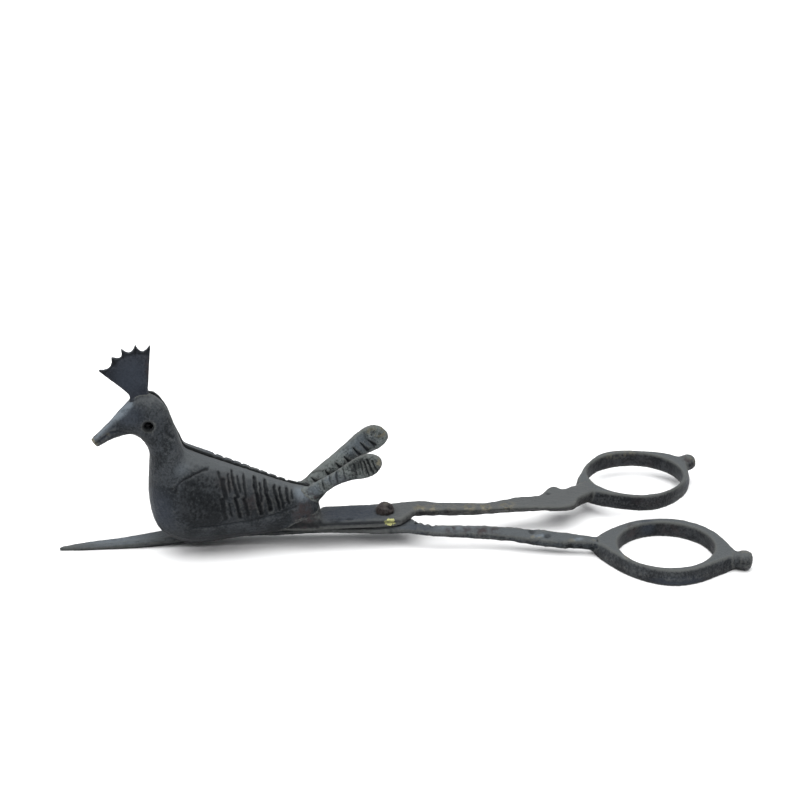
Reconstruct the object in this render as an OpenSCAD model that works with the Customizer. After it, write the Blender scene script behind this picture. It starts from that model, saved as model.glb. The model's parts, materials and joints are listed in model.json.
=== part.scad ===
// Wick trimmer: two cast brass levers on a rivet, whose jaws are the two halves of a hollow crested bird.
// Millimetres, +Z up. Shapes are drawn with the pivot axis at X = Y = 0, the table at Z = 0, the finger
// rings towards +X and the jaws closed. The upper lever is then turned open, and the whole is moved so
// that the origin lies under the middle of the object.

/* [Pivot] */
// Angle that the jaws stand open at rest, in degrees
rest_open = 1.5; // [0:0.5:8]
// Diameter of the rivet's shank
rivet_d = 3; // [2.4:0.1:3.6]
// Diameter of the rivet's domed head
rivet_head_d = 4.8; // [4:0.1:6]
// Radial clearance between the rivet and the upper lever
rivet_play = 0.05; // [0.03:0.01:0.1]

/* [Levers] */
// Thickness of each lever where they cross
plate_t = 1.9; // [1.5:0.1:2.4]
// Half width of each lever where they cross
plate_half_w = 5.3; // [4.5:0.1:6]
// Height of the lower lever's underside above the table at the pivot
arch_h = 4.2; // [3.6:0.1:4.8]
// Gap between the two levers where they cross
layer_gap = 0.06; // [0.03:0.01:0.15]

/* [Finger rings] */
// Diameter of the lower ring's finger opening
lower_finger_d = 25.5; // [22:0.5:26]
// Diameter of the upper ring's finger opening
upper_finger_d = 26.5; // [22:0.5:26.5]
// Height of each ring, from its underside to its top
ring_h = 4.2; // [3.5:0.1:5]
// Height of the upper ring's underside above the table
upper_ring_lift = 3; // [2:0.1:4]
// Diameter of the knobs at the ends of the rings
knob_d = 5; // [4:0.1:5.2]

/* [Bird] */
// Wall thickness of the bird's hollow halves
wall_t = 1.4; // [1:0.1:1.8]
// Distance of each half's open face from the middle plane when the jaws are closed
half_gap = 0.08; // [0.05:0.01:0.3]
// Fullness of the bird's cross section: 1 is an ellipse, less is squarer
fullness = 0.8; // [0.6:0.05:1]
// Diameter of the drilled eyes
eye_d = 2.6; // [2:0.1:3]
// Thickness of the crest
crest_t = 1.1; // [0.8:0.1:1.4]
// Depth of the scallops along the crest's edge
scallop = 1.6; // [0.5:0.1:2]

/* [Hidden] */
$fn = 64;

patina = [0.22, 0.24, 0.25];
blue_patina = [0.19, 0.23, 0.28];
brown_patina = [0.30, 0.27, 0.24];
worn_brass = [0.40, 0.36, 0.27];

// Middle of the whole object in plan, measured from the pivot axis
middle = [3.96, 1.02];

lower_top = arch_h + plate_t;
upper_bottom = lower_top + layer_gap;
upper_top = upper_bottom + plate_t;

lower_ring_at = [72.6, -17.4, 0];
upper_ring_at = [71.5, 17.6, upper_ring_lift];
ring_steps = 2;
ring_undercut = 0.3;
lower_ring_slope = 1;
upper_ring_slope = 0.6;
bar_steps = 3;
shell_steps = 2;
arc_steps = 14;
tail_sides = 12;

// Lower lever, from its pointed tip to the root of its ring. Each station is
// [x, near edge y, far edge y, bottom z, top z, fall of the top towards the near edge, undercut of the near edge]
lower_stations = [
    [-86.2, 0.7, 1.2, 0.2, 0.9, 0.1, 0],
    [-80, 0.2, 2.5, 0.05, 1.5, 0.2, 0],
    [-72, 0.1, 3.5, 0, 1.8, 0.2, 0],
    [-66, 0.1, 4.4, 0.1, 2.1, 0.1, 0],
    [-59, 0.1, 5.6, 0.7, 2.6, 0.1, 0],
    [-50, 0.1, 6.6, 1.5, 3.4, 0, 0],
    [-40, 0.1, 6.4, 2.3, 4.2, 0, 0],
    [-35, -0.1, 6.1, 2.5, 4.4, 0.5, 0],
    [-30, -0.9, 5.9, 2.75, 4.9, 0.8, 0],
    [-24.5, -1.6, 5.7, 3.2, 5.3, 0.7, 0],
    [-19.5, -2.3, 5.5, 3.7, 5.6, 0.3, 0],
    [-15, -3.2, plate_half_w, 4.1, 5.9, 0, 0],
    [-10, -4.1, plate_half_w, 4.3, 6.0, 0, 0],
    [-6, -4.7, plate_half_w, 4.3, lower_top, 0, 0],
    [-2.7, -5.1, plate_half_w, arch_h, lower_top, 0, 0],
    [2.5, -plate_half_w, 4.8, arch_h, lower_top, 0, 0],
    [5.5, -5.5, 2.2, arch_h, lower_top, 0.1, 0],
    [9, -6.0, -2.6, 3.7, lower_top, 0.5, 0.3],
    [14, -7.4, -4.4, 3.1, 6.0, 0.9, 1.3],
    [23, -7.9, -5.4, 3.0, 6.0, 0.9, 0.2],
    [31, -9.6, -6.6, 2.9, 5.9, 0.9, 0.2],
    [37, -11.6, -7.8, 2.5, 5.7, 0.9, 0.4],
    [44, -13.5, -9.3, 2.1, 5.3, 0.7, 0.4],
    [50.5, -14.3, -11.2, 1.8, 5.1, 0.4, 0.5],
    [54, -15.0, -11.9, 1.5, 4.8, 0.3, 0.4],
    [58.5, -16.2, -12.2, 0.9, ring_h, 0.1, 0.3]
];

// Upper lever, from the plate behind the bird to the root of its ring, in the same form
upper_stations = [
    [-26, -4.6, -0.4, upper_bottom, upper_top - 0.3, 0, 0],
    [-18.7, -plate_half_w, -0.4, upper_bottom, upper_top, 0, 0],
    [-16.4, -plate_half_w, 5.0, upper_bottom, upper_top, 0, 0],
    [-11, -plate_half_w, plate_half_w, upper_bottom, upper_top, 0, 0],
    [2, -plate_half_w, plate_half_w, upper_bottom, upper_top, 0, 0],
    [5.5, -2.8, 5.7, upper_bottom, upper_top, 0, 0],
    [7.8, -0.2, 5.9, upper_bottom, upper_top, 0, 0.1],
    [10, 0.7, 5.8, 5.4, upper_top, 0, 0.9],
    [15, 0.3, 4.9, 5.0, 7.9, 0, 1.7],
    [21, 0, 4.2, 4.9, 7.8, 0, 1.7],
    [28, -0.1, 3.6, 4.9, 7.7, 0, 1.8],
    [36, -0.5, 5.9, 4.9, 7.7, 0, 2.6],
    [42.6, -1.0, 6.3, 4.9, 7.7, 0, 2.9],
    [45.2, -1.3, 9.5, 4.8, 7.7, 0, 2.9],
    [47.6, -1.4, 11.3, 4.8, 7.7, 0, 2.8],
    [49.8, -1.2, 9.4, 4.7, 7.7, 0, 2.6],
    [51.6, 0.2, 10.4, 4.5, 7.6, 0, 2.3],
    [53.2, 3.6, 11.6, 4.0, 7.5, 0, 1.4],
    [58.3, 8.4, 14.6, 3.6, 7.2, 0, 0.6]
];

// Foot of the bird's near half, flush with the upper lever's near edge, in the same form
foot_stations = [
    [-28, -4.3, -0.5, upper_bottom, 9.2, 1.2, 0],
    [-25, -5.0, -0.5, upper_bottom, 12.0, 2.8, 0],
    [-20.5, -plate_half_w, -0.5, upper_bottom, 12.6, 3.4, 0],
    [-18.4, -plate_half_w, -0.5, upper_bottom, 12.2, 3.4, 0],
    [-17.2, -5.2, -0.7, upper_bottom, upper_top + 0.3, 0, 0]
];

// Outer edges of the finger rings: [direction in degrees, distance from the ring's centre]
lower_ring_edge = [[13, 16.5], [35, 16.3], [60, 16.3], [85, 15.9], [109, 16.1], [124, 16.4], [139, 17.1],
    [154, 18.6], [164, 19.2], [172, 18.2], [182, 16.6], [196, 15.3], [214, 14.5], [232, 14.4], [252, 14.9],
    [272, 15.4], [292, 15.4], [308, 15.6], [321, 16.4], [333, 18.1], [343, 18.9], [353, 17.6]];
upper_ring_edge = [[5, 15.7], [17, 16.6], [30, 17.4], [43, 17.1], [58, 15.9], [78, 15.2], [92, 15.4],
    [106, 15.7], [122, 15.4], [150, 14.7], [170, 15.1], [184, 16.7], [195, 17.5], [207, 17.2], [218, 16.3],
    [232, 15.3], [256, 14.8], [272, 15.0], [286, 14.8], [303, 14.4], [326, 14.4], [347, 15.0]];

// Outline of the bird in pairs: [back x, back z, belly x, belly z, half width], from tail root to beak.
// The halves differ where each meets its own lever, and the far half is a little lower at the beak.
near_rear = [
    [-20.5, 17.0, -17.8, 13.2, 2.2],
    [-23.0, 17.7, -17.4, upper_top - 0.1, 3.8],
    [-26.3, 18.7, -22.0, upper_bottom, 4.8]
];
far_rear = [
    [-20.5, 17.0, -17.8, 13.2, 2.0],
    [-23.0, 17.7, -20.6, 5.3, 3.0],
    [-26.3, 18.7, -24.0, 5.1, 4.4]
];
bird_body = [
    [-31.0, 20.6, -28.5, 4.8, 5.8],
    [-36.5, 23.0, -36.0, 4.3, 7.2],
    [-42.0, 25.3, -43.5, 3.8, 8.3],
    [-47.0, 27.4, -51.0, 3.3, 8.9],
    [-50.0, 28.8, -57.0, 5.2, 8.8],
    [-51.7, 29.6, -60.2, 8.8, 8.2],
    [-52.6, 30.4, -61.6, 13.5, 7.6],
    [-53.1, 31.8, -62.0, 18.5, 6.8]
];
near_head = [
    [-53.7, 33.8, -61.7, 23.5, 5.7],
    [-54.5, 36.3, -61.3, 28.2, 4.8],
    [-55.4, 39.0, -61.8, 31.2, 4.3],
    [-56.6, 42.0, -63.4, 33.6, 4.2],
    [-59.3, 45.2, -65.2, 34.8, 4.0],
    [-63.2, 45.9, -67.0, 34.8, 3.3],
    [-66.7, 43.4, -69.1, 34.2, 2.6],
    [-71.3, 38.2, -71.9, 33.1, 2.0],
    [-76.0, 33.6, -74.4, 31.6, 1.4]
];
far_head = [
    [-53.9, 33.8, -61.7, 23.5, 5.7],
    [-55.0, 36.3, -61.3, 28.2, 4.8],
    [-55.7, 39.0, -61.8, 31.2, 4.3],
    [-57.0, 42.0, -63.4, 33.6, 4.2],
    [-59.5, 45.0, -65.2, 34.8, 4.0],
    [-63.2, 45.2, -67.0, 34.6, 3.3],
    [-66.6, 42.4, -69.1, 33.9, 2.6],
    [-71.2, 37.2, -71.9, 32.6, 2.0],
    [-75.8, 32.8, -74.2, 31.3, 1.4]
];
// First and last pairs that are hollow
hollow_from = 2;
hollow_to = 14;
eye_at = [-61.2, 38.2];

// Tails in pairs: [upper edge x, upper edge z, lower edge x, lower edge z, distance from the middle, thickness]
near_tail_pairs = [
    [-25.5, 15.8, -23.5, 13.4, 1.3, 1.4],
    [-21.6, 16.9, -17.9, 13.4, 1.6, 2.2],
    [-18.5, 19.2, -15.6, 16.6, 2.8, 2.4],
    [-14.8, 21.9, -12.6, 19.2, 4.2, 2.1],
    [-11.2, 25.0, -9.3, 20.9, 5.6, 2.0],
    [-8.2, 27.8, -6.0, 22.0, 7.0, 1.9],
    [-5.2, 29.4, -3.6, 23.4, 8.2, 1.8],
    [-3.0, 29.1, -2.3, 25.2, 8.8, 1.6],
    [-1.9, 27.9, -1.8, 26.6, 9.0, 1.2]
];
far_tail_pairs = [
    [-25.5, 15.8, -23.5, 13.4, 1.3, 1.4],
    [-22.0, 17.1, -18.4, 13.4, 1.6, 2.2],
    [-18.6, 19.6, -15.4, 16.4, 2.9, 2.4],
    [-14.9, 22.0, -11.6, 19.0, 4.4, 2.1],
    [-10.6, 25.0, -8.0, 21.2, 6.0, 2.0],
    [-6.4, 28.2, -4.4, 22.1, 7.5, 1.9],
    [-3.0, 29.6, -1.3, 23.0, 8.4, 1.8],
    [-0.4, 28.9, 0.6, 24.4, 8.8, 1.6],
    [1.2, 27.1, 1.5, 25.8, 9.0, 1.2]
];

// Crest: its foot inside the head, its five points, and the middle of its thickness
crest_foot = [[-61.2, 44.4], [-61.0, 47.0]];
crest_points = [[-59.9, 58.9], [-63.6, 59.5], [-67.2, 58.6], [-69.7, 56.4], [-73.2, 53.1]];
crest_neck = [[-66.7, 47.2], [-65.5, 45.6], [-65.3, 43.8]];
crest_y = -0.8;

// Point at t from b to c on a smooth curve that also follows its neighbours a and d
function blend(a, b, c, d, t) =
    b + (c - a) * t / 2 + (a - 2.5 * b + 2 * c - d / 2) * t * t + (1.5 * b - a / 2 - 1.5 * c + d / 2) * t * t * t;

// The same list with n steps between one entry and the next
function refine(list, n) = [
    for (i = [0:len(list) - 2])
        for (k = [0:n - 1])
            blend(list[max(i - 1, 0)], list[i], list[i + 1], list[min(i + 2, len(list) - 1)], k / n),
    list[len(list) - 1]
];

// The same for a list that closes on itself
function refine_loop(list, n) =
    let (c = len(list))
    [for (i = [0:c - 1]) for (k = [0:n - 1])
        blend(list[(i + c - 1) % c], list[i], list[(i + 1) % c], list[(i + 2) % c], k / n)];

function middle_of(points) = [for (a = [0:2]) sum_of(points, a) / len(points)];
function sum_of(points, axis, i = 0) = i == len(points) ? 0 : points[i][axis] + sum_of(points, axis, i + 1);

function quad(a, b, c, d) = [[a, b, c], [a, c, d]];

// Closed solid through rings of equally many points, each anticlockwise as seen from the last ring's side
module skin(rings) {
    n = len(rings[0]);
    last = len(rings) - 1;
    first_tip = n * len(rings);
    points = concat([for (r = rings) each r], [middle_of(rings[0]), middle_of(rings[last])]);
    sides = [for (i = [0:last - 1]) for (k = [0:n - 1])
        each quad(i * n + k, (i + 1) * n + k, (i + 1) * n + (k + 1) % n, i * n + (k + 1) % n)];
    first_end = [for (k = [0:n - 1]) [first_tip, k, (k + 1) % n]];
    last_end = [for (k = [0:n - 1]) [first_tip + 1, last * n + (k + 1) % n, last * n + k]];
    polyhedron(points = points, faces = concat(sides, first_end, last_end));
}

// Cross section of a lever at one station, with its long edges broken
function bar_ring(s) =
    let (c = min((s[2] - s[1]) * 0.18, 0.5), top = s[4] - s[5])
    [
        [s[0], s[1] + s[6] + c, s[3]],
        [s[0], s[2] - c, s[3]],
        [s[0], s[2], s[3] + c],
        [s[0], s[2], s[4] - c],
        [s[0], s[2] - c, s[4]],
        [s[0], s[1] + 1.4 * c, top],
        [s[0], s[1], top - c],
        [s[0], s[1] + s[6], s[3] + c]
    ];

// Cross section of a tail at one pair of edge points
function tail_ring(s) =
    let (up = [s[0] - s[2], s[1] - s[3]] / 2, mid = [s[0] + s[2], s[1] + s[3]] / 2)
    [for (k = [0:tail_sides - 1])
        let (a = 360 * k / tail_sides)
        [mid[0] + up[0] * cos(a), s[4] - s[5] / 2 * sin(a), mid[1] + up[1] * cos(a)]];

// Half cross section of the bird at one pair of outline points, set in by a wall thickness
function shell_arc(s, inset) =
    let (
        up = [s[0] - s[2], s[1] - s[3]] / 2,
        mid = [s[0] + s[2], s[1] + s[3]] / 2,
        shrink = 1 - inset / norm(up)
    )
    [for (k = [0:arc_steps])
        let (a = 180 * k / arc_steps)
        [
            mid[0] + up[0] * shrink * cos(a),
            half_gap + (s[4] - inset) * pow(abs(sin(a)), fullness),
            mid[1] + up[1] * shrink * cos(a)
        ]];

// One hollow half of the bird as a single closed wall, open towards the middle plane
module half_shell(pairs) {
    rows = refine(pairs, shell_steps);
    n = len(rows) - 1;
    m = arc_steps + 1;
    from = hollow_from * shell_steps;
    to = hollow_to * shell_steps;
    inner_start = (n + 1) * m;
    points = concat(
        [for (s = rows) each shell_arc(s, 0)],
        [for (i = [from:to]) each shell_arc(rows[i], wall_t)]
    );
    function back(i) = i * m;
    function belly(i) = i * m + arc_steps;
    function in_back(i) = inner_start + (i - from) * m;
    function in_belly(i) = in_back(i) + arc_steps;
    outside = [for (i = [0:n - 1]) for (k = [0:arc_steps - 1])
        each quad(back(i) + k, back(i + 1) + k, back(i + 1) + k + 1, back(i) + k + 1)];
    inside = [for (i = [from:to - 1]) for (k = [0:arc_steps - 1])
        each quad(in_back(i) + k + 1, in_back(i + 1) + k + 1, in_back(i + 1) + k, in_back(i) + k)];
    ends = [
        [for (k = [0:arc_steps]) back(0) + k],
        [for (k = [arc_steps:-1:0]) back(n) + k],
        [for (k = [arc_steps:-1:0]) in_back(from) + k],
        [for (k = [0:arc_steps]) in_back(to) + k]
    ];
    solid_rim = [for (i = [0:n - 1]) if (i < from - 1 || i > to)
        each quad(back(i), belly(i), belly(i + 1), back(i + 1))];
    hollow_rim = [for (i = [from:to - 1]) each concat(
        quad(back(i), in_back(i), in_back(i + 1), back(i + 1)),
        quad(in_belly(i), belly(i), belly(i + 1), in_belly(i + 1))
    )];
    rim_ends = [
        [back(from - 1), belly(from - 1), belly(from), in_belly(from), in_back(from), back(from)],
        [belly(to + 1), back(to + 1), back(to), in_back(to), in_belly(to), belly(to)]
    ];
    polyhedron(points = points, faces = concat(outside, inside, ends, solid_rim, hollow_rim, rim_ends));
}

// Finger ring around a true cylindrical opening. Its outer wall leans in by top_slope from its middle to its
// top, and is slightly undercut below.
module finger_ring(edge, opening_d, top_slope) {
    loop = refine_loop([for (e = edge) e[1] * [cos(e[0]), sin(e[0])]], ring_steps);
    levels = [[0, ring_undercut], [ring_h * 0.45, 0], [ring_h * 0.9, top_slope * 0.75], [ring_h, top_slope]];
    difference() {
        skin([for (l = levels) [for (p = loop) concat(p * (1 - l[1] / norm(p)), l[0])]]);
        translate([0, 0, -1]) cylinder(d = opening_d, h = ring_h + 2);
    }
}

// Lumpy knob that grows out of a ring's end, pointing along +X
module ring_knob(d) {
    rotate([0, 90, 0])
        rotate_extrude()
            polygon([[0, -1.4], [d * 0.36, -1.4], [d * 0.38, 0.2], [d * 0.5, 1.4], [d * 0.5, 2.9],
                [d * 0.4, 3.9], [d * 0.2, 4.3], [0, 4.4]]);
}

module place() {
    translate([-middle[0], -middle[1], 0]) children();
}

module place_upper() {
    place() rotate([0, 0, rest_open]) children();
}

module lower_lever() {
    color(blue_patina) place() difference() {
        skin([for (s = refine(lower_stations, bar_steps)) bar_ring(s)]);
        cylinder(d = rivet_d, h = 20);
    }
}

module lower_finger_ring() {
    color(patina) place() translate(lower_ring_at)
        finger_ring(lower_ring_edge, lower_finger_d, lower_ring_slope);
}

module lower_ring_knob() {
    color(patina) place() translate([89.7, -24.1, 2.55]) rotate([0, 0, -15]) ring_knob(knob_d);
}

module far_bird_half() {
    color(patina) place() difference() {
        half_shell(concat(far_rear, bird_body, far_head));
        translate([eye_at[0], 0, eye_at[1]]) rotate([-90, 0, 0]) cylinder(d = eye_d, h = 10);
    }
}

module far_tail() {
    color(patina) place() skin([for (s = refine(far_tail_pairs, bar_steps)) tail_ring(s)]);
}

module pivot_rivet() {
    head_r = rivet_head_d / 2;
    color(brown_patina) place() rotate_extrude()
        polygon([[0, arch_h - 0.9], [head_r * 0.6, arch_h - 0.8], [head_r * 0.85, arch_h - 0.4],
            [head_r * 0.9, arch_h], [rivet_d / 2, arch_h], [rivet_d / 2, upper_top + layer_gap],
            [head_r, upper_top + layer_gap], [head_r, upper_top + 0.9], [head_r * 0.85, upper_top + 1.8],
            [head_r * 0.5, upper_top + 2.5], [0, upper_top + 2.8]]);
}

module upper_lever() {
    color(brown_patina) place_upper() difference() {
        union() {
            skin([for (s = refine(upper_stations, bar_steps)) bar_ring(s)]);
            skin([for (s = foot_stations) bar_ring(s)]);
        }
        cylinder(d = rivet_d + 2 * rivet_play, h = 20);
    }
}

module upper_finger_ring() {
    color(patina) place_upper() translate(upper_ring_at)
        finger_ring(upper_ring_edge, upper_finger_d, upper_ring_slope);
}

module upper_ring_knob() {
    color(worn_brass) place_upper() translate([86.2, 24.8, upper_ring_lift + 2.6]) rotate([0, 0, 27])
        ring_knob(knob_d * 0.9);
}

module near_bird_half() {
    color(patina) place_upper() difference() {
        mirror([0, 1, 0]) half_shell(concat(near_rear, bird_body, near_head));
        translate([eye_at[0], 0, eye_at[1]]) rotate([90, 0, 0]) cylinder(d = eye_d, h = 10);
    }
}

module near_tail() {
    color(patina) place_upper() mirror([0, 1, 0])
        skin([for (s = refine(near_tail_pairs, bar_steps)) tail_ring(s)]);
}

// Points of a hollow curve from a to b, whose middle lies towards the crest's foot
function scallop_curve(a, b) =
    let (side = [a[1] - b[1], b[0] - a[0]] / norm(b - a))
    [for (t = [0:0.2:0.8]) a + (b - a) * t + side * scallop * 4 * t * (1 - t)];

module crest_fan() {
    edge = [for (i = [0:len(crest_points) - 2]) each scallop_curve(crest_points[i], crest_points[i + 1])];
    color(blue_patina) place_upper()
        translate([0, crest_y + crest_t / 2, 0]) rotate([90, 0, 0])
            linear_extrude(crest_t)
                polygon(concat(crest_foot, edge, [crest_points[4]], crest_neck));
}

lower_lever();
lower_finger_ring();
lower_ring_knob();
far_bird_half();
far_tail();
pivot_rivet();
upper_lever();
upper_finger_ring();
upper_ring_knob();
near_bird_half();
near_tail();
crest_fan();
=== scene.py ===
"""Looks of the wick trimmer: cast pieces carved out of their CAD solids, under a patina of aged brass.

Shapes are worked in millimetres from the pivot axis, with the table at Z = 0, the jaws towards -X and the
bird's near side towards -Y. Blender's own objects are in metres, in the frame of the CAD model.
"""

import json
import math

import bmesh
import bpy
import numpy as np
from mathutils import Matrix, Vector, noise
from mathutils.bvhtree import BVHTree


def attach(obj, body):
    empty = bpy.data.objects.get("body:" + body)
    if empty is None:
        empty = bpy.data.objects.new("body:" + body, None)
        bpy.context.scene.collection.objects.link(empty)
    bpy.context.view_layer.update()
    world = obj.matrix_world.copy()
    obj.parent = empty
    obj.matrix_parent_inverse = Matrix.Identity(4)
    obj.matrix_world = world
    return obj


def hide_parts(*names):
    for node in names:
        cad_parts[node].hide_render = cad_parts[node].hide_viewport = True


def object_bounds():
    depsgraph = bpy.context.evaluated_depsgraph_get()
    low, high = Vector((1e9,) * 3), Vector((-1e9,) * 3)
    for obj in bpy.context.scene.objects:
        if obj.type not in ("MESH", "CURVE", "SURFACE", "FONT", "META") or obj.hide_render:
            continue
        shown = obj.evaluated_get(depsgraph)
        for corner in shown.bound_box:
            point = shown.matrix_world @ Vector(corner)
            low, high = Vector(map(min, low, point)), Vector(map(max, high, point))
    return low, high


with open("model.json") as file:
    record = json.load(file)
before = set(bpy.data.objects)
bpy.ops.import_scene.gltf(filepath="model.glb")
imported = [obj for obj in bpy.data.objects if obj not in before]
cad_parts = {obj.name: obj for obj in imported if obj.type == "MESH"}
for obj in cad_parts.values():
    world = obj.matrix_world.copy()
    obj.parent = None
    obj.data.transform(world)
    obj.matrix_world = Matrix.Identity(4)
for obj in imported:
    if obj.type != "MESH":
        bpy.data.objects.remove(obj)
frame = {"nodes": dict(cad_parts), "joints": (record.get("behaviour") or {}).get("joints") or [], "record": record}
cad_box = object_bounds()

MM = 0.001
NODES = frame["nodes"]
BODIES = frame["record"]["behaviour"]["bodies"]
PIVOT = np.array([*frame["joints"][0]["pos_m"][:2], 0]) / MM
BOX_LOW, BOX_HIGH = [np.array(corner) / MM - PIVOT for corner in cad_box]
# Height at which the two levers slide on each other
LEVER_CONTACT = 6.1

# Sizes of the mesh work, in millimetres
VOXEL = {
    "crest_fan": 0.15, "pivot_rivet": 0.15, "near_tail": 0.18, "far_tail": 0.18, "near_bird_half": 0.23,
}
USUAL_VOXEL = 0.25
CASTING_VOXEL = 0.3
FILLET = 1.5
# A piece is blended fully into a neighbour within the first distance, and not at all from the second on.
# Points deeper inside the casting than SKIN_DEPTH stay where they are.
BLEND_TO, BLEND_FROM = 1.2, 3.2
SKIN_DEPTH = 0.8
# Passes of smoothing on the casting and on each piece
CASTING_SMOOTHING = 4
SMOOTHING = 3
# What the mesh work takes off a piece's skin, which is put back on
GROWTH = {
    "upper_lever": 0.14, "lower_lever": 0.14, "far_tail": 0.3, "near_tail": 0.16, "crest_fan": 0.06,
}
USUAL_GROWTH = 0.1
# Share of the cast roughness on the smoother pieces
FINISH = {"lower_finger_ring": 0.45, "upper_finger_ring": 0.45, "crest_fan": 0.5}
# The least that faces meeting the other lever stay inside their CAD solid
MEETING_GAP = 0.03
# Some of them slide on it: how level those are, how near the contact height, and up to which X
SLIDING_NORMAL, SLIDING_REACH, SLIDING_END = 0.6, 1.6, 8
# Others look across the seam at it: how far those face along Y, how near the seam, and up to which X
FACING_NORMAL, FACING_REACH, FACING_END = 0.4, 2.5, 2
# How proud a vertex stands where it counts as fully raised
RELIEF_SCALE = 0.1
# How deep a cut is where it is full of soot
CUT_SCALE = 0.45


# ---------------------------------------------------------------- mesh helpers

def read_points(mesh):
    """Vertices of a mesh, in millimetres from the pivot axis."""
    flat = np.empty(len(mesh.vertices) * 3, np.float32)
    mesh.vertices.foreach_get("co", flat)
    return flat.reshape(-1, 3).astype(float) / MM - PIVOT


def write_points(mesh, points):
    mesh.vertices.foreach_set("co", ((points + PIVOT) * MM).astype(np.float32).ravel())
    mesh.update()


def read_normals(mesh):
    flat = np.empty(len(mesh.vertices) * 3, np.float32)
    mesh.vertex_normals.foreach_get("vector", flat)
    return flat.reshape(-1, 3).astype(float)


def read_edges(mesh):
    flat = np.empty(len(mesh.edges) * 2, np.int32)
    mesh.edges.foreach_get("vertices", flat)
    return flat.reshape(-1, 2)


def remeshed(meshes, voxel):
    """One closed skin around the meshes, with faces about a voxel wide."""
    joined = bmesh.new()
    for mesh in meshes:
        joined.from_mesh(mesh)
    source = bpy.data.meshes.new("source")
    joined.to_mesh(source)
    joined.free()
    holder = bpy.data.objects.new("source", source)
    bpy.context.scene.collection.objects.link(holder)
    remesh = holder.modifiers.new("skin", "REMESH")
    remesh.mode = "VOXEL"
    remesh.voxel_size = voxel * MM
    graph = bpy.context.evaluated_depsgraph_get()
    skin = bpy.data.meshes.new_from_object(holder.evaluated_get(graph))
    bpy.data.objects.remove(holder)
    bpy.data.meshes.remove(source)
    return skin


def relaxed(points, edges, passes, shares=(0.5, -0.53)):
    """Rows of values moved towards their neighbours' mean and back out, to smooth without shrinking."""
    size = len(points)
    ends = np.concatenate([edges[:, 0], edges[:, 1]])
    others = np.concatenate([edges[:, 1], edges[:, 0]])
    count = np.maximum(np.bincount(ends, minlength=size), 1)[:, None]
    for _ in range(passes):
        for share in shares:
            sums = [np.bincount(ends, column, size) for column in points[others].T]
            points = points + share * (np.stack(sums, 1) / count - points)
    return points


def tree_of(meshes):
    """The meshes' faces as one search tree, in millimetres."""
    points, faces = [], []
    for mesh in meshes:
        faces += [[len(points) + v for v in face.vertices] for face in mesh.polygons]
        points += [Vector(p) for p in read_points(mesh)]
    return BVHTree.FromPolygons(points, faces)


def casting_skin(meshes):
    """The body's nodes as one casting, with a fillet along every inside corner where they meet."""
    skin = remeshed(meshes, CASTING_VOXEL)
    write_points(skin, read_points(skin) + read_normals(skin) * FILLET)
    closed = remeshed([skin], CASTING_VOXEL)
    points = read_points(closed) - read_normals(closed) * FILLET
    write_points(closed, relaxed(points, read_edges(closed), CASTING_SMOOTHING))
    tree = tree_of([closed])
    for mesh in (skin, closed):
        bpy.data.meshes.remove(mesh)
    return tree


def blended(points, casting, neighbours):
    """Points near a neighbour laid onto the casting's skin, so that the pieces flow into each other."""
    hits = [casting.find_nearest(Vector(p)) for p in points]
    places = np.array([hit[0] for hit in hits])
    normals = np.array([hit[1] for hit in hits])
    gaps = np.array([neighbours.find_nearest(Vector(p))[3] for p in points])
    depth = -np.sum((points - places) * normals, axis=1)
    share = (1 - eased(BLEND_TO, BLEND_FROM, gaps)) * (depth < SKIN_DEPTH)
    return points + (places - points) * share[:, None]


# ---------------------------------------------------------------- carving tools

def eased(low, high, value):
    """0 below low, 1 above high, and smooth between them."""
    t = np.clip((value - low) / (high - low), 0, 1)
    return t * t * (3 - 2 * t)


def cut(flat, path, width, end_width=None):
    """A stroke along a path: 1 on the path and 0 at its half width, which may change along it."""
    end_width = end_width or width
    path = np.array(path, float)
    best = np.zeros(len(flat))
    count = len(path) - 1
    for i in range(count):
        along = path[i + 1] - path[i]
        t = np.clip(((flat - path[i]) @ along) / (along @ along), 0, 1)
        away = np.linalg.norm(flat - path[i] - t[:, None] * along, axis=1)
        half = width + (end_width - width) * (i + t) / count
        best = np.maximum(best, 1 - eased(0, 1, away / half))
    return best


def inside(flat, outline, soft):
    """1 inside a closed outline in a plane, 0 outside, and smooth across its edge."""
    outline = np.array(outline, float)
    within = np.zeros(len(flat), bool)
    away = np.full(len(flat), 1e9)
    for a, b in zip(outline, np.roll(outline, -1, axis=0)):
        crosses = (a[1] > flat[:, 1]) != (b[1] > flat[:, 1])
        rise = b[1] - a[1] if b[1] != a[1] else 1e-9
        within ^= crosses & (flat[:, 0] < (b[0] - a[0]) * (flat[:, 1] - a[1]) / rise + a[0])
        along = b - a
        t = np.clip(((flat - a) @ along) / (along @ along), 0, 1)
        away = np.minimum(away, np.linalg.norm(flat - a - t[:, None] * along, axis=1))
    return eased(-soft, soft, np.where(within, away, -away))


def ball(points, centre, radius):
    """1 about a centre, falling to 0 at the radius, which may differ along X, Y and Z."""
    away = np.linalg.norm((points - np.array(centre)) / np.array(radius), axis=1)
    return 1 - eased(0.3, 1, away)


def lumps(points, size, octaves=2):
    """Smooth noise from about -1 to 1, with lumps of the given size."""
    return np.array([noise.fractal(Vector(p) / size, 1.0, 2.0, octaves) for p in points])


def cells(points, size):
    """Distance to the nearest of scattered seeds about a size apart, from 0 at a seed."""
    return np.array([noise.voronoi(Vector(p) / size)[0][0] for p in points])


# ---------------------------------------------------------------- the bird's wings

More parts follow.
